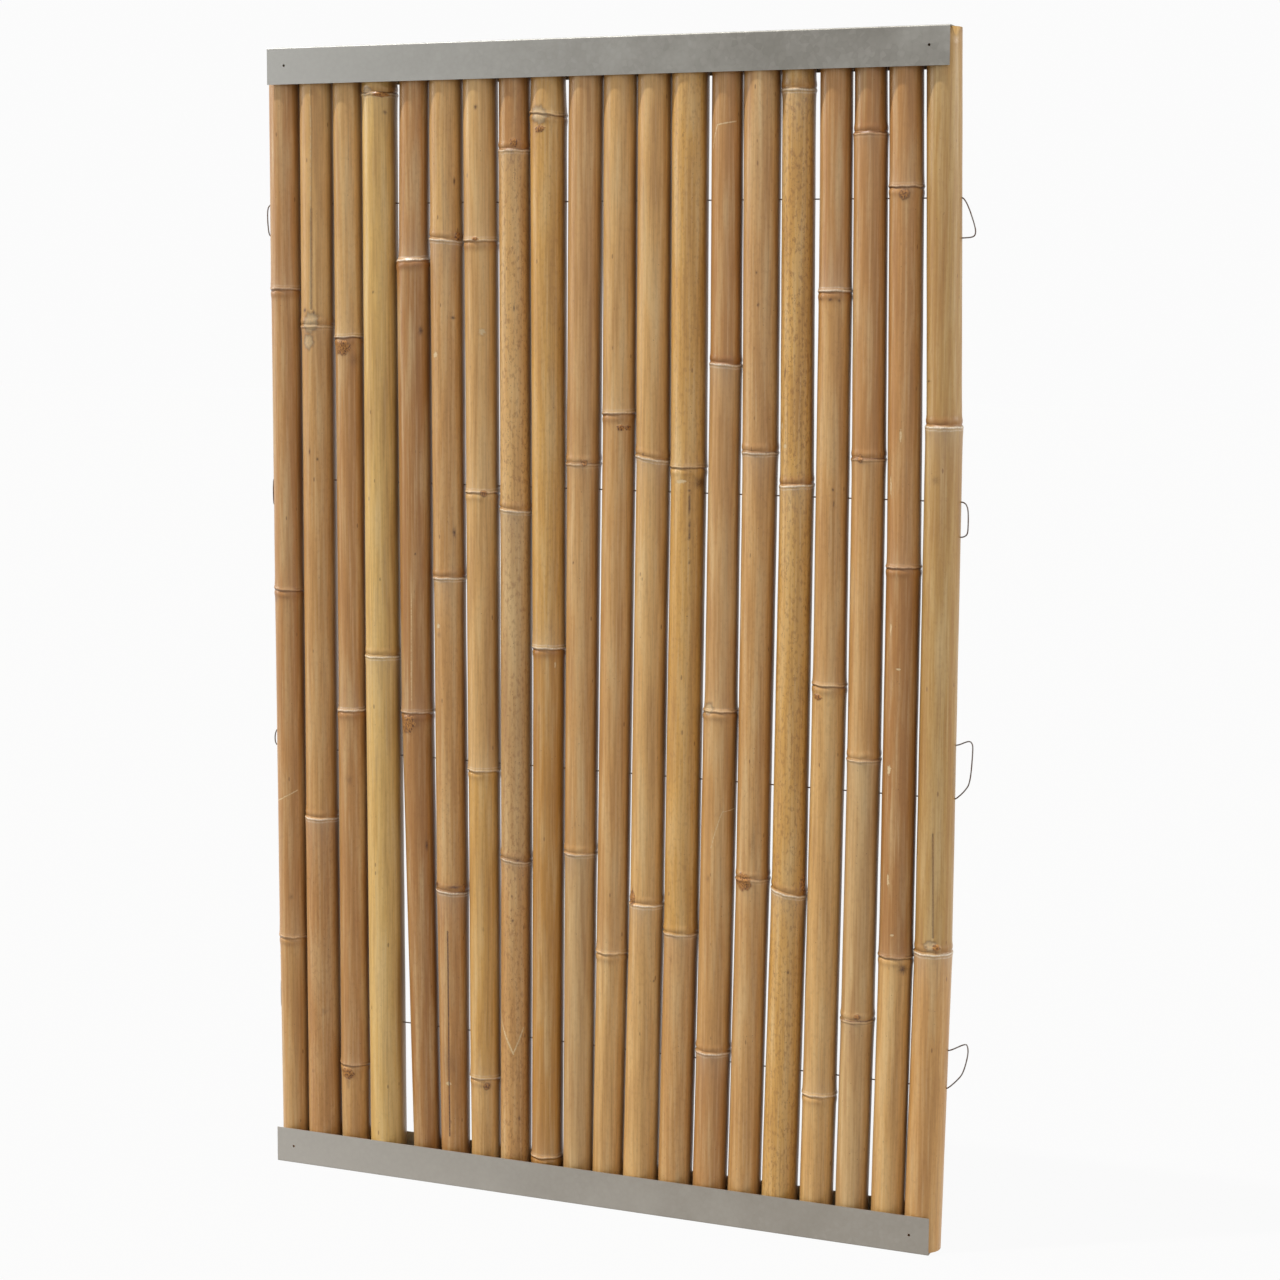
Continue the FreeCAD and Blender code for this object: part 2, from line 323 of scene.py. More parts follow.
# Per cane: kind, degrees round from the front, height, width and length in millimetres
MARKS = {
    1: [("smudge", -41, 928, 14, 16), ("smudge", -60, 279, 4, 24), ("smudge", 17, 442, 10, 10)],
    2: [("scar", 0, 1372, 27, 33), ("scar", -10, 1342, 21, 22), ("spot", -24, 1391, 6, 7),
        ("spot", 12, 1387, 5, 9), ("spot", -9, 1168, 3, 12), ("spot", 20, 1156, 4, 5),
        ("smudge", 24, 259, 7, 12)],
    3: [("bud", -3, 1333, 25, 24), ("smudge", 44, 1314, 22, 26), ("smudge", 11, 643, 12, 18),
        ("bud", -6, 160, 20, 18), ("smudge", -6, 146, 10, 26)],
    4: [("scar", -17, 1729, 18, 13), ("spot", 44, 1697, 6, 6), ("spot", 0, 1420, 3, 4),
        ("bud", 30, 1724, 22, 7)],
    5: [("bud", -14, 741, 25, 27), ("smudge", 14, 744, 18, 22), ("spot", 46, 1361, 7, 16),
        ("spot", 48, 547, 6, 16), ("spot", -63, 477, 4, 7), ("spot", 21, 1012, 3, 4)],
    6: [("spot", 51, 1590, 4, 14), ("bud", 61, 1506, 10, 12), ("spot", 43, 1381, 8, 5),
        ("smudge", -48, 1204, 6, 10), ("chip", -24, 1324, 12, 11), ("spot", 42, 1048, 6, 16),
        ("chip", -24, 900, 11, 9), ("smudge", -22, 886, 10, 10), ("spot", -47, 487, 16, 7),
        ("spot", 28, 485, 22, 6), ("knot", 67, 482, 8, 12), ("smudge", 2, 199, 26, 60),
        ("chip", -2, 165, 12, 9)],
    7: [("spot", 8, 1701, 5, 8), ("bud", 4, 1502, 8, 6), ("chip", 25, 1360, 15, 11),
        ("knot", 27, 1111, 11, 10), ("smudge", 18, 422, 3, 8), ("knot", 28, 168, 11, 12)],
    8: [("bud", 20, 1647, 13, 11), ("spot", 28, 537, 7, 6), ("spot", 18, 1396, 3, 10),
        ("spot", 9, 441, 5, 5), ("spot", 6, 480, 3, 4), ("spot", 36, 122, 4, 8)],
    9: [("scar", -9, 1687, 25, 30), ("bud", -6, 1666, 14, 9), ("chip", 43, 850, 4, 12),
        ("smudge", -16, 780, 4, 14)],
    10: [("knot", 24, 1163, 9, 10), ("spot", -14, 1010, 3, 4), ("smudge", 0, 604, 3, 8)],
    11: [("bud", 26, 1218, 10, 9), ("bud", 52, 1218, 9, 8)],
    12: [("spot", -15, 1179, 3, 5), ("bud", -38, 496, 14, 20), ("spot", 50, 368, 3, 4)],
    13: [("spot", 60, 1138, 18, 20), ("chip", -5, 1140, 22, 7), ("smudge", -14, 406, 5, 12)],
    14: [("scar", -30, 798, 20, 20), ("smudge", -13, 538, 6, 12)],
    15: [("spot", 2, 1451, 3, 5), ("spot", 8, 1404, 4, 5), ("smudge", 17, 600, 9, 60),
         ("bud", -16, 538, 23, 27)],
    16: [("smudge", -37, 1738, 16, 26), ("smudge", 40, 1738, 16, 26), ("spot", -30, 1305, 3, 20),
         ("chip", -46, 1226, 5, 16), ("chip", -28, 1197, 8, 9), ("bud", 68, 540, 12, 26),
         ("spot", 22, 406, 4, 6)],
    17: [("spot", 18, 1135, 4, 5), ("spot", 22, 1114, 3, 10), ("bud", -27, 827, 15, 8),
         ("spot", -40, 1413, 5, 5), ("spot", 0, 1412, 6, 5), ("spot", 30, 1411, 5, 5)],
    18: [("knot", -13, 1182, 9, 12), ("knot", 14, 349, 9, 9)],
    19: [("knot", 8, 1563, 15, 16), ("spot", 41, 428, 15, 16), ("chip", -37, 1143, 5, 36),
         ("chip", 1, 1217, 4, 26), ("chip", -27, 934, 4, 24), ("chip", 2, 876, 10, 5),
         ("chip", -23, 726, 8, 20), ("chip", -18, 561, 5, 24), ("chip", 1, 479, 8, 5)],
    20: [("scar", 5, 469, 18, 17), ("bud", 23, 467, 9, 10), ("spot", -9, 467, 5, 5),
         ("smudge", -9, 1154, 11, 14), ("spot", -46, 1296, 8, 3)],
}
# What each kind of line does: its depth in millimetres, and how dark and how pale it is
LINE_KINDS = {"crack": (0.5, 1.0, 0.0), "groove": (0.8, 0.65, 0.0), "seam": (0.5, 0.4, 0.0),
              "scratch": (0.0, 0.0, 0.62), "dots": (0.1, 0.9, 0.0)}
# Per cane: kind, width in millimetres, and the line's points as degrees round and heights
LINES = {
    1: [("scratch", 1.8, [(-60, 596), (-20, 603), (47, 618)])],
    # On the second cane the pale line left of the seam and groove is a painted highlight on the groove's lit
    # side
    2: [("seam", 1.8, [(8, 1759), (11, 1673), (7, 1549)]), ("groove", 2.8, [(7, 1549), (6, 1489), (4, 1393)]),
        ("scratch", 1.2, [(3, 1759), (6, 1673), (1, 1489), (-2, 1393)])],
    5: [("scratch", 1.2, [(6, 949), (2, 778)])],
    6: [("crack", 1.8, [(4, 413), (4, 343), (2, 193), (1, 79)])],
    8: [("scratch", 3.0, [(-66, 293), (13, 227)]), ("scratch", 2.2, [(51, 268), (13, 227)])],
    13: [("dots", 2.4, [(23, 1127), (27, 1015)])],
    14: [("scratch", 1.8, [(-45, 1632), (-30, 1656), (-20, 1667), (52, 1672)]),
         ("scratch", 1.4, [(-5, 586), (11, 615), (30, 642), (80, 645)])],
    20: [("groove", 1.8, [(6, 636), (8, 598), (13, 481)])],
}
print(sum(len(m) for m in MARKS.values()), "marks,", sum(len(m) for m in LINES.values()), "lines")

# %% [markdown]
# ## The grid of a culm
# The skin is worked out on a grid of angle and height. An even grid that is fine enough for a knot would
# have millions of faces. So columns stand 1 mm apart round the front, where the knots are, and wider
# behind, and rows lie close together at nodes and marks and far apart on the plain lengths.

# %% Grid
# The front reaches so many degrees to either side and has so many columns; the back has the rest
FRONT, FRONT_COLUMNS, BACK_COLUMNS = 75, 72, 42
ANGLES = np.radians(np.concatenate([
    np.linspace(-FRONT, FRONT, FRONT_COLUMNS, endpoint=False),
    np.linspace(FRONT, 360 - FRONT, BACK_COLUMNS, endpoint=False)]))
COLUMNS = len(ANGLES)
# A middling cane's radius, in metres, which turns angles into widths
RADIUS = 0.026
print("columns", COLUMNS)


# %% Rows
EVEN_ROWS = 73
# How far rows crowd to either side of a node and of its ring, and how far apart they are there, in metres
NODE_REACH, NODE_STEP = 0.022, 0.002
RING_REACH, RING_STEP = 0.006, 0.0009
# The same for a mark, beyond 0.6 of its length, in millimetres
MARK_REACH, MARK_STEP = 2, 1.2
LATTICE = 0.0006


def rows_for(foot, head, nodes, cane):
    """Heights of the rows: 73 evenly spread ones, one every 2 mm for 22 mm to either side of a node and every
    0.9 mm at its ring, and enough at each mark and line to draw it, all set to a 0.6 mm lattice."""
    heights = [np.linspace(foot, head, EVEN_ROWS)]
    for z, look in zip(nodes, NODES[cane - 1]):
        close = RING_REACH + abs(look[4]) / 2000
        heights.append(np.arange(z - NODE_REACH, z + NODE_REACH, NODE_STEP))
        heights.append(np.arange(z - close, z + close, RING_STEP))
    for kind, theta, z, wide, tall in MARKS.get(cane, []):
        heights.append(np.arange(z - 0.6 * tall - MARK_REACH, z + 0.6 * tall + MARK_REACH, MARK_STEP) / 1000)
    for kind, wide, path in LINES.get(cane, []):
        for (t0, z0), (t1, z1) in zip(path[:-1], path[1:]):
            steps = max(3, int(abs(t1 - t0) * 0.9), int(abs(z1 - z0) / 12))
            heights.append(np.linspace(min(z0, z1) - 2 * wide, max(z0, z1) + 2 * wide, steps) / 1000)
            heights.append(np.array([z0 - wide, z0, z0 + wide, z1 - wide, z1, z1 + wide]) / 1000)
    rows = np.round(np.concatenate(heights) / LATTICE) * LATTICE
    return np.unique(np.clip(np.append(rows, [foot, head]), foot, head))


print("rows per cane", [len(rows_for(rings[0, 0], rings[-1, 0], rings[2:-1:3, 0], index + 1))
                        for index, rings in enumerate(CANES.values())])


# %% [markdown]
# ## The shape of a node
# At a node the culm flares a little, carries a thin ridge where the sheath sat, has a groove beside it and
# swells again on the side of its tip. A modifier could push the skin out by a pattern; a formula is chosen,
# because the same distances place the painted line and bands, so that colour and shape stay together.

# %% Soft bumps and steps
def bell(d, width):
    """A soft bump: 1 at no distance, falling as exp(-(d / width)^2)."""
    return np.exp(-(d / width) ** 2)


def step(d, width):
    """A soft step from 0 to 1 over a width, 1 / (1 + exp(-d / width))."""
    return 1 / (1 + np.exp(-np.clip(d / width, -40, 40)))


def across(angle, theta):
    """How far round the cane a place lies from an angle, in metres: the turn between them times the
    radius."""
    return ((angle - math.radians(theta) + math.pi) % (2 * math.pi) - math.pi) * RADIUS


def strengthen(skin, label, values):
    """Lays values over one of the skin's: the larger of the two stays."""
    skin[label] = np.maximum(skin[label], values)


print("a bell and a step at 0, 1 and 2 mm:", bell(np.arange(3), 1).round(2), step(np.arange(3), 1).round(2))


# %% Node
# Metres: how much a node adds to the radius, how far past the scar, and how far to either side
FLARE, FLARE_REACH = 0.001, 0.011
RIDGE = (0.0007, 0.0, 0.0019)
GROOVE = (-0.0006, 0.0038, 0.0015)
SWELLING = (0.0006, 0.0095, 0.004)
# The brown band begins and ends so far past the scar, in metres
BAND = (0.0015, 0.014)
# The ring isn't drawn with a ruler: it wavers by so much, in metres
WAVER = 0.0003
# Phases are drawn up to a full turn
TURN = 6.3


def node_ring(angle, z, z0, look, seed, skin):
    """What a node adds to the radius. With d the height past the scar in the way the cane grew: a flare
    exp(-|d| / 11 mm), a ridge at 0, a groove at 3.8 mm and a swelling at 9.5 mm, each a bell. Its lines, its
    band and the pale bloom behind it go into skin."""
    grew, band, line, dark, slant = look
    draw = np.random.default_rng(seed)
    waver = WAVER * np.cos(draw.integers(2, 5) * angle + draw.uniform(0, TURN)) \
        + WAVER * np.cos(draw.integers(6, 11) * angle + draw.uniform(0, TURN))
    d = (z - z0 - slant / 2000 * np.sin(angle) - waver) * grew
    beside = step(d - BAND[0], 0.0005) * step(BAND[1] - d, 0.003)
    # The pale line lies on the scar with a fainter one 4.4 mm before it, the dark one 2.2 mm past it
    pale_lines = np.maximum(bell(d, 0.0013), 0.5 * bell(d + 0.0044, 0.0009))
    dark_lines = np.maximum(bell(d - 0.0022, 0.0012), 0.4 * bell(d + 0.002, 0.0008))
    strengthen(skin, "band", max(band, 0) * beside)
    strengthen(skin, "pale", 0.5 * max(-band, 0) * beside)
    strengthen(skin, "line", line * pale_lines)
    strengthen(skin, "dark", dark * dark_lines)
    strengthen(skin, "bloom", (0.05 + 0.25 * line) * step(-d, 0.0006) * np.exp(-np.abs(d) / 0.03))
    added = FLARE * np.exp(-np.abs(d) / FLARE_REACH)
    for raised, past, width in (RIDGE, GROOVE, SWELLING):
        added = added + raised * bell(d - past, width)
    return added


print("ridge, groove and swelling in metres", RIDGE, GROOVE, SWELLING)


# %% [markdown]
# ## The shape of a mark
# A round mark is a function of e, the distance from its middle in units of its own half width and half
# length. A line is a tent: 1 on its path, falling to 0 at its own width to either side. Carving with a
# boolean would leave sharp, clean edges, and old bamboo has none.

# %% Marks
def add_mark(mark, angle, z, skin):
    """What a round mark adds to the radius: its raise times exp(-e^4). Its rim lies at e = 0.85. Three seeded
    waves round its middle change e, so that its outline looks torn, and a knot's less so."""
    kind, theta, height, wide, tall = mark
    raised, rim, dark, pale, crumbs = KINDS[kind]
    u, v = across(angle, theta) / (wide / 2000), (z - height / 1000) / (tall / 2000)
    turned = np.arctan2(v, u)
    draw = np.random.default_rng(height).uniform(0, TURN, 3)
    torn = 0.16 * np.cos(2 * turned + draw[0]) + 0.12 * np.cos(5 * turned + draw[1]) \
        + 0.1 * np.cos(9 * turned + draw[2])
    e = np.sqrt(u ** 2 + v ** 2) * (1 + torn * (0.35 if kind == "knot" else 0.6))
    whole = np.exp(-e ** 4)
    strengthen(skin, "dark", np.maximum(rim * bell(e - 0.85, 0.24), dark * bell(e, 0.85)))
    strengthen(skin, "pale", pale * whole)
    strengthen(skin, "crumbs", crumbs * whole)
    return raised / 1000 * whole


print("kinds of mark", list(KINDS))


# %% Lines
# A row of dots is a line that comes and goes over this many metres
DOT_SPACING = 0.009


def add_line(line, angle, z, skin):
    """What a line takes from the radius: its depth times the tent 1 - distance / width, where the distance is
    the shortest one to any stretch of its path on the unrolled skin."""
    kind, wide, path = line
    depth, dark, pale = LINE_KINDS[kind]
    tent = 0 * angle * z
    for (t0, z0), (t1, z1) in zip(path[:-1], path[1:]):
        u, v = across(angle, t0), z - z0 / 1000
        du, dv = math.radians(t1 - t0) * RADIUS, (z1 - z0) / 1000
        along = np.clip((u * du + v * dv) / (du ** 2 + dv ** 2), 0, 1)
        away = np.sqrt((u - along * du) ** 2 + (v - along * dv) ** 2)
        tent = np.maximum(tent, np.clip(1 - away / (wide / 1000), 0, 1))
    if kind == "dots":
        tent = tent * (0.4 + 0.6 * np.sin(z * 2 * math.pi / DOT_SPACING))
    strengthen(skin, "dark", np.clip(1.7 * dark * tent, 0, dark))
    strengthen(skin, "pale", np.clip(1.6 * pale * tent, 0, pale))
    return -depth / 1000 * tent


print("kinds of line", list(LINE_KINDS))


# %% [markdown]
# ## The whole culm
# A bamboo culm is a tube that is closed at its nodes and open where it is cut. A cylinder could be bent and
# carved, but here all its points are worked out at once: the radius follows the CAD's rings, with the nodes
# and marks added, and a very gentle unevenness, since nothing that grew is perfectly round.

# %% Unevenness
def waves(angle, z, seed, count=6):
    """A gentle, smooth unevenness between -1 and 1: a sum of seeded waves round and along the cane."""
    draw = np.random.default_rng(seed)
    times_round = draw.integers(1, 5, count)
    rates = draw.uniform(8, 60, count)
    phases = draw.uniform(0, TURN, count)
    total = 0
    for times, rate, phase in zip(times_round, rates, phases):
        total = total + np.cos(times * angle + rate * z + phase)
    return total / count


print("waves at the front of cane 1", waves(0, np.array([0.2, 0.9, 1.6]), 1).round(2))


# %% Closed skin
def tube_mesh(name, rings):
    """A closed skin through rings of points, from one pole to the other; a pole is the middle of its ring."""
    count, columns = rings.shape[:2]
    points = np.concatenate([rings.reshape(-1, 3), rings[0].mean(0)[None], rings[-1].mean(0)[None]])
    low = np.arange(count - 1)[:, None] * columns + np.arange(columns)
    beside = np.arange(count - 1)[:, None] * columns + (np.arange(columns) + 1) % columns
    quads = np.stack([low, beside, beside + columns, low + columns], -1).reshape(-1, 4)
    around = np.arange(columns)
    following = (around + 1) % columns
    foot = np.stack([np.full(columns, count * columns), following, around], -1)
    last = (count - 1) * columns
    head = np.stack([np.full(columns, count * columns + 1), last + around, last + following], -1)
    mesh = bpy.data.meshes.new(name)
    mesh.from_pydata(points.tolist(), [], quads.tolist() + foot.tolist() + head.tolist())
    mesh.polygons.foreach_set("use_smooth", np.ones(len(mesh.polygons), bool))
    mesh.update()
    return mesh


# Metres: the thickness of a culm's wall, and how deep one looks into its open end
WALL, HOLLOW = 0.006, 0.03


def hollow(ring, way):
    """Rings of an open end: its rim, its inner edge, the bottom of its hollow, and one at 0.3 of that, from
    which the bottom closes."""
    middle = ring.mean(0)
    thin = middle + (ring - middle) * (1 - WALL / RADIUS)
    deep = np.array([0, 0, way * HOLLOW])
    return np.stack([ring, thin, thin + deep, middle + (thin - middle) * 0.3 + deep])


print("walls", 1000 * WALL, "mm, hollow ends", 1000 * HOLLOW, "mm deep")


# %% Culm
# Painted shade darkens the skin where neighbours almost touch, between these two angles in degrees to either
# side
GAP_SHADE_FROM, GAP_SHADE_TO = 66, 118
# How much the unevenness adds to the radius, in metres
UNEVEN = 0.0002
CUT_WOOD = "#C8AE80"


def painted_gap_shade(angle, cane):
    """Painted shade where neighbours almost touch: a step up and a step down between two angles, softened
    over 5 and 8 degrees, but not on the outer side of the first and last cane."""
    turn = np.degrees((angle + math.pi) % (2 * math.pi) - math.pi)
    beside = step(np.abs(turn) - GAP_SHADE_FROM, 5) * step(GAP_SHADE_TO - np.abs(turn), 8)
    open_side = (turn < 0) & (cane == 1) | (turn > 0) & (cane == len(CANES))
    return np.where(open_side, 0, beside)


def culm(name, cane):
    """The skin of a cane and its values. The plain radius is a straight line between the CAD's rings above
    and below each node, and its middle follows theirs. Nodes, marks and lines add to it, and a point lies at
    the middle plus the radius times the sine and minus the cosine of its angle."""
    rings = CANES[name]
    nodes = rings[2:-1:3, 0]
    rows = rows_for(rings[0, 0], rings[-1, 0], nodes, cane)
    z, angle = rows[:, None], ANGLES[None, :]
    plain = np.delete(rings, np.arange(2, len(rings) - 1, 3), 0)
    radius = np.interp(z, plain[:, 0], plain[:, 2]) + UNEVEN * waves(angle, z, cane)
    skin = {label: 0 * radius for label in ("band", "pale", "line", "dark", "bloom", "crumbs")}
    for count, z0 in enumerate(nodes):
        radius = radius + node_ring(angle, z, z0, NODES[cane - 1][count], 10 * cane + count, skin)
    for mark in MARKS.get(cane, []):
        radius = radius + add_mark(mark, angle, z, skin)
    for line in LINES.get(cane, []):
        radius = radius + add_line(line, angle, z, skin)
    skin["painted_gap_shade"] = painted_gap_shade(angle, cane) + 0 * radius
    which = np.searchsorted(nodes, rows)
    skin["fleck"] = np.array([flecked for tone, flecked in LENGTHS[cane - 1]])[which][:, None] + 0 * radius
    tones = np.array([linear(TONES[tone]) for tone, flecked in LENGTHS[cane - 1]])[which][:, None, :]
    centre = np.interp(z, rings[:, 0], rings[:, 1])
    outside = np.stack([centre + radius * np.sin(angle), -radius * np.cos(angle), z + 0 * angle], -1)
    foot, head = hollow(outside[0], 1)[::-1], hollow(outside[-1], -1)
    mesh = tube_mesh(name.replace("cane", "bamboo"), np.concatenate([foot, outside, head]))
    before, after = len(foot) * COLUMNS, len(head) * COLUMNS + 2
    for label, values in skin.items():
        full = np.concatenate([np.zeros(before), values.ravel(), np.zeros(after)])
        mesh.attributes.new(label, "FLOAT", "POINT").data.foreach_set("value", full.astype(np.float32))
    inside = np.array([linear(CUT_WOOD)])
    full = np.concatenate([np.repeat(inside, before, 0), np.repeat(tones, COLUMNS, 1).reshape(-1, 4),
                           np.repeat(inside, after, 0)])
    colours = mesh.attributes.new("tone", "FLOAT_COLOR", "POINT")
    colours.data.foreach_set("color", full.ravel().astype(np.float32))
    return mesh, (rows, outside[..., 0].min(1), outside[..., 0].max(1))


print("grime reaches from", GAP_SHADE_FROM, "to", GAP_SHADE_TO, "degrees")


# %% [markdown]
# ## The skin of dried bamboo
# Dried bamboo has a hard, waxy outer skin full of silica: it has a satin sheen, and long straight fibres
# show faintly through it. Age gives it soft clouds, and mould gives it mottling and small dark flecks. One
# noise would look like stone. So the patterns are noise drawn out along the cane, each with its own width
# and length in metres, and each lays one colour over those below.

# %% Bamboo helpers
def grain(tree, place, width, length, detail, seed):
    """Noise drawn out along the cane: its features are so many metres wide and so many long."""
    sized = add(tree, "ShaderNodeMapping", {}, {
        "Vector": place, "Location": (seed, 0, 0), "Scale": (1 / width, 1 / width, 1 / length)})
    return add(tree, "ShaderNodeTexNoise", {}, {
        "Vector": sized.outputs[0], "Scale": 1.0, "Detail": detail, "Roughness": 0.55}).outputs["Fac"]


def span(tree, value, low, high, to_low=0.0, to_high=1.0):
    """The part of a value between two limits, stretched to a new range."""
    return add(tree, "ShaderNodeMapRange", {}, {0: value, 1: low, 2: high, 3: to_low, 4: to_high}).outputs[0]


def reckon(tree, operation, a, b):
    """Two values added, multiplied or compared, kept between 0 and 1."""
    return add(tree, "ShaderNodeMath", {"operation": operation, "use_clamp": True}, {0: a, 1: b}).outputs[0]


def lay(tree, below, above, share):
    """One colour laid over another by a share."""
    return add(tree, "ShaderNodeMix", {"data_type": "RGBA"}, {0: share, 6: below, 7: above}).outputs[2]


def flecks(tree, place, wide, tall, size, few):
    """Specks on a lattice of cells: a dot in those cells whose random value is below few."""
    cells = add(tree, "ShaderNodeMapping", {}, {"Vector": place, "Scale": (1 / wide, 1 / wide, 1 / tall)})
    dots = add(tree, "ShaderNodeTexVoronoi", {}, {"Vector": cells.outputs[0], "Scale": 1.0})
    chosen = reckon(tree, "LESS_THAN", dots.outputs["Color"], few)
    return reckon(tree, "MULTIPLY", span(tree, dots.outputs["Distance"], size, size * 0.6), chosen)


# %% Bamboo material
def bamboo_skin():
    """Satin skin of dried bamboo: the cane's tone, clouded along the grain, with fibres, flecks and nodes.
    The fibres are drawn 1.4 mm wide; real ones are about half a millimetre, too fine to show."""
    material, tree, out = blank_material("dried_bamboo_skin")
    place = add(tree, "ShaderNodeTexCoord").outputs["Object"]
    value = {name: add(tree, "ShaderNodeAttribute", {"attribute_name": name}).outputs["Fac"]
             for name in ("band", "pale", "line", "dark", "bloom", "crumbs", "fleck", "painted_gap_shade")}
    clouds = grain(tree, place, 0.02, 0.22, 3, 0)
    streaks = grain(tree, place, 0.0045, 0.15, 3, 5)
    fibres = grain(tree, place, 0.0014, 0.07, 2, 9)
    smears = grain(tree, place, 0.0038, 0.008, 4, 13)
    crumbs = grain(tree, place, 0.0022, 0.003, 3, 17)

    # The cane's tone, then darker and paler clouds, streaks and fibres
    colour = add(tree, "ShaderNodeAttribute", {"attribute_name": "tone"}).outputs["Color"]
    colour = lay(tree, colour, linear("#A06D38"), span(tree, clouds, 0.5, 0.74, 0, 0.5))
    colour = lay(tree, colour, linear("#E8CE9A"), span(tree, clouds, 0.5, 0.28, 0, 0.4))
    colour = lay(tree, colour, linear("#8F5F2E"), span(tree, streaks, 0.5, 0.78, 0, 0.42))
    colour = lay(tree, colour, linear("#EBD5A6"), span(tree, streaks, 0.5, 0.25, 0, 0.3))
    colour = lay(tree, colour, linear("#8B5E32"), span(tree, fibres, 0.5, 0.8, 0, 0.25))
    # Mould: smears, small flecks in patches, and a few larger specks
    colour = lay(tree, colour, linear("#8F5C2B"), reckon(
        tree, "MULTIPLY", span(tree, smears, 0.5, 0.66), span(tree, value["fleck"], 0, 1, 0.08, 0.6)))
    patches = span(tree, grain(tree, place, 0.018, 0.06, 2, 23), 0.42, 0.6)
    few = reckon(tree, "MULTIPLY", patches, span(tree, value["fleck"], 0.05, 1, 0.12, 0.8))
    colour = lay(tree, colour, linear("#6B4724"), reckon(
        tree, "MULTIPLY", flecks(tree, place, 0.0036, 0.005, 0.19, few), 0.7))
    colour = lay(tree, colour, linear("#7A5029"), reckon(
        tree, "MULTIPLY", flecks(tree, place, 0.016, 0.045, 0.1, 0.42), 0.6))

    # What the mesh says: painted shade where neighbours almost touch, then the nodes' bloom, band and pale
    # line
    colour = lay(tree, colour, linear("#6E4A26"), reckon(
        tree, "MULTIPLY", value["painted_gap_shade"], span(tree, clouds, 0.3, 0.7, 0.4, 0.75)))
    colour = lay(tree, colour, linear("#D3CBBB"), reckon(
        tree, "MULTIPLY", value["bloom"], span(tree, clouds, 0.35, 0.65, 0.35, 0.9)))
    colour = lay(tree, colour, linear("#925B22"), reckon(
        tree, "MULTIPLY", value["band"], span(tree, smears, 0.3, 0.65, 0.8, 1.0)))
    colour = lay(tree, colour, linear("#F7EEDA"), reckon(
        tree, "MULTIPLY", value["line"], span(tree, crumbs, 0.35, 0.6, 1.0, 0.45)))
    # Pale and dark parts of the marks, and the crumbly husk of buds
    colour = lay(tree, colour, linear("#D9BE90"), span(
        tree, reckon(tree, "ADD", value["pale"], span(tree, crumbs, 0.3, 0.7, -0.2, 0.2)), 0.4, 0.62))
    colour = lay(tree, colour, linear("#4E2A10"), reckon(
        tree, "MULTIPLY", value["dark"], span(tree, crumbs, 0.3, 0.6, 0.6, 1.0)))
    husk = lay(tree, linear("#5E3716"), linear("#B9803F"), span(tree, crumbs, 0.36, 0.58))
    colour = lay(tree, colour, husk, span(tree, value["crumbs"], 0.1, 0.4))

    # Wax over wood: a thin, fairly smooth coat over a satin base, rough only on the husks
    skin = add(tree, "ShaderNodeBsdfPrincipled", {}, {
        "Base Color": colour, "IOR": 1.5, "Coat Weight": 0.25, "Coat Roughness": 0.34})
    rough = span(tree, clouds, 0.3, 0.7, 0.38, 0.5)
    rough = reckon(tree, "MAXIMUM", rough, span(tree, value["crumbs"], 0, 1, 0, 0.85))
    tree.links.new(rough, skin.inputs["Roughness"])
    relief = reckon(tree, "ADD", span(tree, fibres, 0, 1, 0, 0.25),
                    reckon(tree, "MULTIPLY", value["crumbs"], crumbs))
    bump = add(tree, "ShaderNodeBump", {}, {"Strength": 0.5, "Distance": 0.0006, "Height": relief})
    tree.links.new(bump.outputs[0], skin.inputs["Normal"])
    tree.links.new(skin.outputs[0], out.inputs["Surface"])
    return material


bamboo = bamboo_skin()
print("bamboo material with", len(bamboo.node_tree.nodes), "nodes")


# %% [markdown]
# ## Stand the canes
# Each dressed cane takes the place of its CAD solid, which stays in the physics model for contact. They
# could be joined to one mesh; twenty pieces are kept, so that each stays small and can be swapped on its
# own.

# %% Canes on the frame
total = 0
sides = []
for index, name in enumerate(CANES):
    mesh, side = culm(name, index + 1)
    mesh.materials.append(bamboo)
    piece = bpy.data.objects.new(mesh.name, mesh)
    bpy.context.scene.collection.objects.link(piece)
    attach(piece, "root")
    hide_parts(name)
    mesh.calc_loop_triangles()
    total += len(mesh.loop_triangles)
    sides.append(side)
print("canes", len(CANES), "with", total, "triangles")

# %% [markdown]
# ## Neighbours stay apart
# Nodes and knots stand out from the solids' flanks. Two canes might touch there, so the free width between
# neighbours is measured every 2 mm of height.

# %% Measure the gaps
levels = np.arange(0.01, 1.79, 0.002)
spare = [(np.interp(levels, right[0], right[1]) - np.interp(levels, left[0], left[2])).min()
         for left, right in zip(sides[:-1], sides[1:])]
print("least gap between neighbours, mm", [round(1000 * float(s), 2) for s in spare])

# %% [markdown]
# ## Galvanised wire
# Four wires run through drilled holes and end in a loop beyond either outer cane. The CAD wire turns at
# mitred corners; real wire is bent round in one movement, so here the same corners guide a smooth curve,
# and a small round section is carried along it.

# %% Routes of the wires
WIRE_HEIGHTS = np.linspace(0.249, 1.558, 4)
# Where a wire starts inside the outer cane, where its end goes back in, and how far in it ends, in metres
START_DEPTH, ENTRY_DEPTH, END_DEPTH = 0.012, 0.002, 0.015
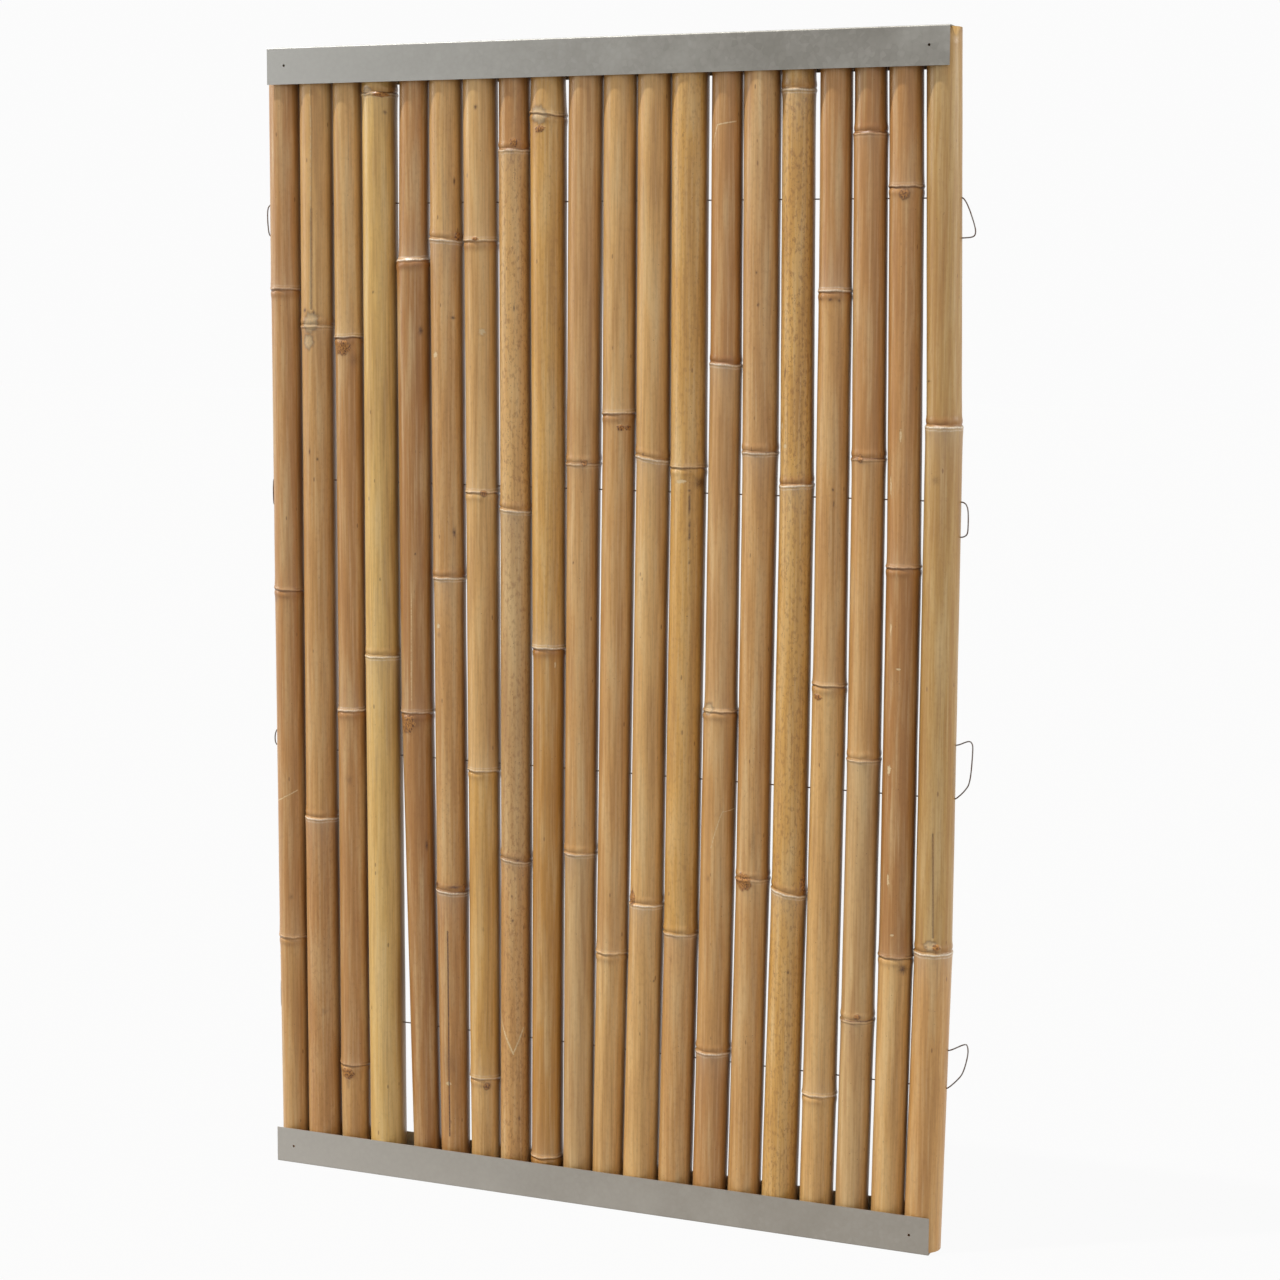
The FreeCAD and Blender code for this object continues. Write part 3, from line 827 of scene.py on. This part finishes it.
# Corners of each loop in millimetres: reach away from the panel and rise from the wire, lowest wire first
LEFT_LOOPS = [
    [(2.0, 0), (3.5, 4), (3.5, 45), (2.0, 49)],
    [(2.5, 0), (7.5, 5), (7.5, 19), (3.0, 28)],
    [(2.5, 0), (4.5, -6), (4.5, -38), (2.5, -44)],
    [(3.5, 0), (9.5, -8), (7.5, -45), (3.0, -51)],
]
RIGHT_LOOPS = [
    [(2.0, 0), (16.0, 14), (25.0, 26), (32.0, 55), (31.0, 68), (27.0, 71), (5.0, 58)],
    [(2.0, 0), (16.0, 14), (23.0, 27), (26.0, 75), (25.0, 84), (20.0, 88), (4.0, 80)],
    [(4.0, 0), (9.0, -4), (11.5, -14), (11.5, -42), (9.5, -48), (4.0, -51)],
    [(2.5, 0), (10.0, -12), (20.0, -40), (21.5, -50), (18.5, -56), (4.0, -57)],
]


def loop_corners(rings, way, height, loop):
    """Corners of a wire from inside the outer cane, round its loop and back into the cane."""
    def flank(z):
        return float(np.interp(z, rings[:, 0], rings[:, 1] + way * rings[:, 2]))
    edge, back_in = flank(height), height + loop[-1][1] / 1000
    corners = [(edge - way * START_DEPTH, height), (edge - way * ENTRY_DEPTH, height)]
    corners += [(edge + way * reach / 1000, height + rise / 1000) for reach, rise in loop]
    return corners + [(flank(back_in) - way * depth, back_in) for depth in (ENTRY_DEPTH, END_DEPTH)]


print("wires at", WIRE_HEIGHTS.round(3))


# %% Mesh of a wire
WIRE_R = 0.001


def smooth(corners, steps=8):
    """A quadratic B-spline: from the middle of one length to the middle of the next, bent towards the corner
    between them, (1 - t)^2 a + 2 t (1 - t) b + t^2 c."""
    p = np.array(corners)
    middles = (p[:-1] + p[1:]) / 2
    a, b, c = np.vstack([p[:1], middles[1:-1]]), p[1:-1], np.vstack([middles[1:-1], p[-1:]])
    t = (np.arange(steps) / steps)[None, :, None]
    curve = (1 - t) ** 2 * a[:, None] + 2 * t * (1 - t) * b[:, None] + t ** 2 * c[:, None]
    return np.vstack([curve.reshape(-1, 2), p[-1:]])


def wire_mesh(name, path, sides=12):
    """A round section carried along a path in the XZ plane: its points are the path's point plus the radius
    times cos a along Y plus sin a along the path's own normal."""
    ahead = np.gradient(path, axis=0)
    ahead = ahead / np.linalg.norm(ahead, axis=1)[:, None]
    a = np.linspace(0, 2 * math.pi, sides, endpoint=False)
    x = path[:, :1] - WIRE_R * np.sin(a) * ahead[:, 1:]
    z = path[:, 1:] + WIRE_R * np.sin(a) * ahead[:, :1]
    return tube_mesh(name, np.stack([x, WIRE_R * np.cos(a) + 0 * x, z], -1))


print("wire", 2000 * WIRE_R, "mm thick")


# %% Wire material
# Stains about 11 mm across, so 90 to a metre
WIRE_STAINS = 90.0


def galvanised_wire():
    """Zinc-coated steel wire, dulled outdoors: dark grey and half rough, brown where the zinc has gone."""
    material, tree, out = blank_material("weathered_galvanised_wire")
    place = add(tree, "ShaderNodeTexCoord").outputs["Object"]
    worn = add(tree, "ShaderNodeTexNoise", {}, {
        "Vector": place, "Scale": WIRE_STAINS, "Detail": 3.0}).outputs["Fac"]
    colour = lay(tree, linear("#77706B"), linear("#5C4536"), span(tree, worn, 0.42, 0.62))
    metal = add(tree, "ShaderNodeBsdfPrincipled", {}, {
        "Base Color": colour, "Metallic": 0.7, "Roughness": 0.5})
    tree.links.new(metal.outputs[0], out.inputs["Surface"])
    return material


wire_zinc = galvanised_wire()
print("wire material with", len(wire_zinc.node_tree.nodes), "nodes")

# %% Thread the wires
first, last = CANES["cane_01"], CANES["cane_20"]
for index, height in enumerate(WIRE_HEIGHTS):
    left = loop_corners(first, -1, height, LEFT_LOOPS[index])
    path = smooth(left[::-1] + loop_corners(last, 1, height, RIGHT_LOOPS[index]))
    mesh = wire_mesh("threaded_wire_%d" % (index + 1), path)
    mesh.materials.append(wire_zinc)
    piece = bpy.data.objects.new(mesh.name, mesh)
    bpy.context.scene.collection.objects.link(piece)
    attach(piece, "root")
    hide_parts("wire_%d" % (index + 1))
    print(piece.name, "from", path[0].round(4), "to", path[-1].round(4))


# %% [markdown]
# ## Galvanised sheet
# The rails are folded from hot-dip galvanised sheet. Zinc freezes on the steel in flat crystals, the
# spangle, that each reflect a little differently; months outdoors turn it a matt, warm grey. The CAD mesh
# already has the folds and screw holes, so it is kept, and only gets its material.

# %% Rails
# Crystals 8 mm across, and clouds of bloom about 70 mm across, so 14 to a metre
SPANGLE, BLOOM_CLOUDS = 0.008, 14.0


def galvanised_sheet():
    """Matt zinc coat: crystals in slightly different greys, under a fine bloom. Painted light makes the left
    ends paler, as if lit more strongly there, and the colour also grows paler towards the bottom."""
    material, tree, out = blank_material("galvanised_sheet")
    place = add(tree, "ShaderNodeTexCoord").outputs["Object"]
    crystals = add(tree, "ShaderNodeTexVoronoi", {}, {"Vector": place, "Scale": 1 / SPANGLE})
    bloom = add(tree, "ShaderNodeTexNoise", {}, {
        "Vector": place, "Scale": BLOOM_CLOUDS, "Detail": 6.0}).outputs["Fac"]
    place_of = add(tree, "ShaderNodeSeparateXYZ", {}, {"Vector": place}).outputs
    colour = lay(tree, linear("#7F7C75"), linear("#8B8881"), crystals.outputs["Color"])
    colour = lay(tree, colour, linear("#999790"), span(tree, bloom, 0.5, 0.72, 0, 0.6))
    colour = lay(tree, colour, linear("#76736B"), span(tree, bloom, 0.48, 0.3, 0, 0.5))
    # Painted light: paler towards the rails' left ends
    colour = lay(tree, colour, linear("#B1B0AB"), span(tree, place_of["X"], 0.2, -0.55, 0, 0.8))
    # Paler towards the bottom
    colour = lay(tree, colour, linear("#B4AA9D"), span(tree, place_of["Z"], 0.9, 0.3, 0, 0.4))
    rough = span(tree, crystals.outputs["Distance"], 0.0, 0.8, 0.45, 0.58)
    metal = add(tree, "ShaderNodeBsdfPrincipled", {}, {
        "Base Color": colour, "Metallic": 0.7, "Roughness": rough})
    tree.links.new(metal.outputs[0], out.inputs["Surface"])
    return material


sheet_zinc = galvanised_sheet()
for name in ("bottom_rail", "top_rail"):
    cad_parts[name].data.materials.clear()
    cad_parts[name].data.materials.append(sheet_zinc)
print("rails carry", sheet_zinc.name)
